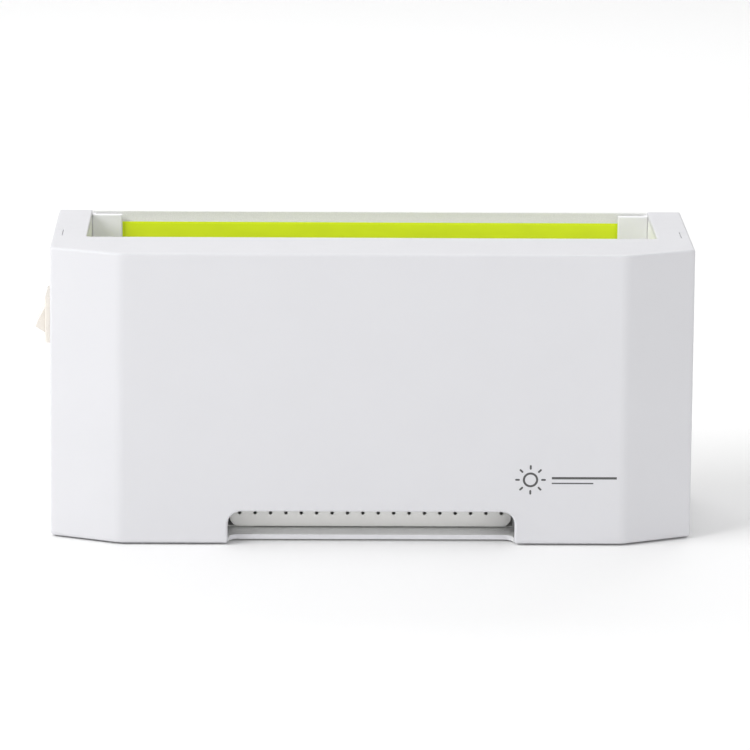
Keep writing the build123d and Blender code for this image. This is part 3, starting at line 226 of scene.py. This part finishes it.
# ---------------------------------------------------------------------
# Materials, one for each slot of the record
# ---------------------------------------------------------------------
SHELL_WHITE = (0.71, 0.71, 0.735)
CASE_WHITE = (0.88, 0.885, 0.87)
GREEN = (0.79, 0.955, 0.006)


def make_card():
    """Coated card: printed yellow-green on its faces, bare white board on its cut edges."""
    made = Shader("board_card", 0.55)
    fibre = made.noise(0.5 * MM, detail=5.0, vector=made.stretched((1.0, 1.0, 0.3)))
    printed = made.blend(made.spread(fibre, 0.0, 1.0, 0.35, 0.65), tint(GREEN, 0.96), tint(GREEN, 1.04))
    split = made.node("ShaderNodeSeparateXYZ")
    made.link(made.node("ShaderNodeNewGeometry").outputs["True Normal"], split.inputs["Vector"])
    edge = made.math("LESS_THAN", made.math("ABSOLUTE", split.outputs["Y"], 0.0), 0.5)
    made.colour(made.blend(edge, printed, (0.86, 0.85, 0.88)))
    made.bump(fibre, 0.01 * MM)
    return made.material


def make_glue():
    """Wet-looking glue film over the print, with coating ripples."""
    made = Shader("glue_film", 0.34, IOR=1.48, Coat_Weight=0.15, Coat_Roughness=0.3)
    ripple = made.noise(7 * MM, detail=2.0, vector=made.stretched((0.35, 1.0, 1.0)))
    made.colour(made.blend(made.spread(ripple, 0.0, 1.0, 0.3, 0.7), tint(GREEN, 0.95), tint(GREEN, 1.02)))
    made.rough(made.noise(2 * MM), 0.3, 0.42)
    made.bump(ripple, 0.04 * MM)
    made.bump(made.noise(0.9 * MM, detail=3.0), 0.008 * MM)
    return made.material


def make_circuit(name, mask, copper):
    """Printed circuit board: solder mask over faint copper tracks."""
    made = Shader(name, 0.35, Coat_Weight=0.3)
    track = made.cells(3.2 * MM, randomness=0.15)
    lines = made.math("LESS_THAN", track, 0.32)
    made.colour(made.blend(lines, mask, copper))
    made.bump(lines, 0.03 * MM)
    made.rough(made.noise(3 * MM), 0.28, 0.42)
    return made.material


def make_diffuser():
    """Milky moulded window, slightly see-through."""
    made = Shader("diffuser_milky", 0.3, IOR=1.5, Transmission_Weight=0.25)
    cloud = made.noise(12 * MM, detail=3.0)
    made.colour(made.blend(cloud, (0.80, 0.82, 0.90), (0.88, 0.90, 0.96)))
    made.rough(made.noise(1.5 * MM), 0.22, 0.36)
    made.bump(made.noise(0.3 * MM, detail=2.0), 0.006 * MM)
    return made.material


materials = {
    "shell_white": moulded("shell_white", SHELL_WHITE, 0.42, variation=0.006),
    # The third argument to grained is the lip colour: painted shade on the case's front lip.
    "case_white": grained("case_white", CASE_WHITE, tint(SHELL_WHITE, 1.14), 0.5),
    "liner_white": moulded("liner_white", (0.89, 0.89, 0.88), 0.45),
    "guide_white": moulded("guide_white", (0.92, 0.92, 0.945), 0.42, variation=0.01),
    "board_card": make_card(),
    "glue_film": make_glue(),
    "tray_white": moulded("tray_white", (0.95, 0.945, 0.92), 0.45, variation=0.012),
    "circuit_white": make_circuit("circuit_white", (0.78, 0.78, 0.75), (0.70, 0.70, 0.66)),
    "led_clear": moulded("led_clear", (0.62, 0.66, 0.86), 0.12, Coat_Weight=0.6),
    "reflector_white": moulded("reflector_white", (0.88, 0.88, 0.9), 0.18),
    "diffuser_milky": make_diffuser(),
    "circuit_green": make_circuit("circuit_green", (0.02, 0.16, 0.06), (0.05, 0.24, 0.08)),
    "component_black": moulded("component_black", (0.03, 0.03, 0.034), 0.5, variation=0.15),
    "capacitor_sleeve": moulded("capacitor_sleeve", (0.02, 0.035, 0.14), 0.25, variation=0.1),
    "terminal_green": moulded("terminal_green", (0.06, 0.30, 0.12), 0.4, variation=0.05),
    "switch_ivory": moulded("switch_ivory", (0.80, 0.755, 0.69), 0.28, variation=0.01),
    "rocker_ivory": moulded("rocker_ivory", (0.81, 0.765, 0.705), 0.25, variation=0.01),
    "contact_metal": metal("contact_metal", (0.82, 0.70, 0.42), 0.3),
    "inlet_black": moulded("inlet_black", (0.025, 0.025, 0.027), 0.4, variation=0.15),
    "nut_metal": metal("nut_metal", (0.68, 0.68, 0.66), 0.28),
    "foot_rubber": moulded("foot_rubber", (0.05, 0.05, 0.052), 0.75, depth=0.012 * MM, variation=0.12),
    "screw_steel": metal("screw_steel", (0.66, 0.67, 0.7), 0.3, stretch=(0.3, 1.0, 1.0)),
    "wire_red": moulded("wire_red", (0.50, 0.02, 0.015), 0.35, variation=0.06),
    "wire_black": moulded("wire_black", (0.025, 0.025, 0.027), 0.38, variation=0.12),
    "clip_white": moulded("clip_white", (0.78, 0.79, 0.77), 0.45),
    "print_grey": moulded("print_grey", (0.09, 0.09, 0.092), 0.5, variation=0.05),
}
for row in frame["record"]["subparts"]:
    piece = nodes[row["node"]]
    piece.data.materials.clear()
    piece.data.materials.append(materials[row["material_slot"]])


# ---------------------------------------------------------------------
# Floor and light
# ---------------------------------------------------------------------
FLOOR_HALF = 9.0


def make_floor():
    """A plain sheet of pale paper, wide enough to fill every view."""
    corners = ((-1, -1), (1, -1), (1, 1), (-1, 1))
    mesh = bmesh.new()
    mesh.faces.new([mesh.verts.new((x * FLOOR_HALF, y * FLOOR_HALF, 0.0)) for x, y in corners])
    data = bpy.data.meshes.new("paper_floor")
    mesh.to_mesh(data)
    mesh.free()
    floor = bpy.data.objects.new("paper_floor", data)
    scene.collection.objects.link(floor)
    paper = Shader("floor_paper", 0.9)
    fibre = paper.noise(4 * MM, detail=3.0)
    paper.colour(paper.blend(fibre, (0.955, 0.955, 0.955), (0.965, 0.965, 0.965)))
    data.materials.append(paper.material)


def add_softbox(name, place, target, width, height, power):
    data = bpy.data.lights.new(name, "AREA")
    data.shape = "RECTANGLE"
    data.size = width
    data.size_y = height
    data.energy = power
    lamp = bpy.data.objects.new(name, data)
    scene.collection.objects.link(lamp)
    lamp.location = place
    lamp.rotation_euler = (Vector(target) - Vector(place)).to_track_quat("-Z", "Y").to_euler()


make_floor()
low, high = (Vector(corner) for corner in cad_box)
middle = (low + high) / 2
# name, place, width, height, power; in metres and watts
SOFTBOXES = (
    ("key", (-1.6, -0.7, 1.4), 1.2, 1.0, 30.0),
    ("centre", (0.2, -2.6, 0.6), 1.6, 1.2, 9.2),
    ("top", (0.0, 0.3, 2.0), 2.8, 2.0, 10.4),
    ("right", (1.8, -1.2, 0.8), 1.2, 1.0, 4.4),
    ("back", (0.0, 1.6, 1.5), 2.8, 1.0, 17.1),
)
AMBIENT = 0.372
for name, place, width, height, power in SOFTBOXES:
    add_softbox(name, place, middle, width, height, power)

world = bpy.data.worlds.new("studio")
scene.world = world
world.use_nodes = True
background = world.node_tree.nodes["Background"]
background.inputs["Color"].default_value = (1.0, 1.0, 1.0, 1.0)
background.inputs["Strength"].default_value = AMBIENT
scene.view_settings.view_transform = "Standard"
scene.view_settings.look = "None"
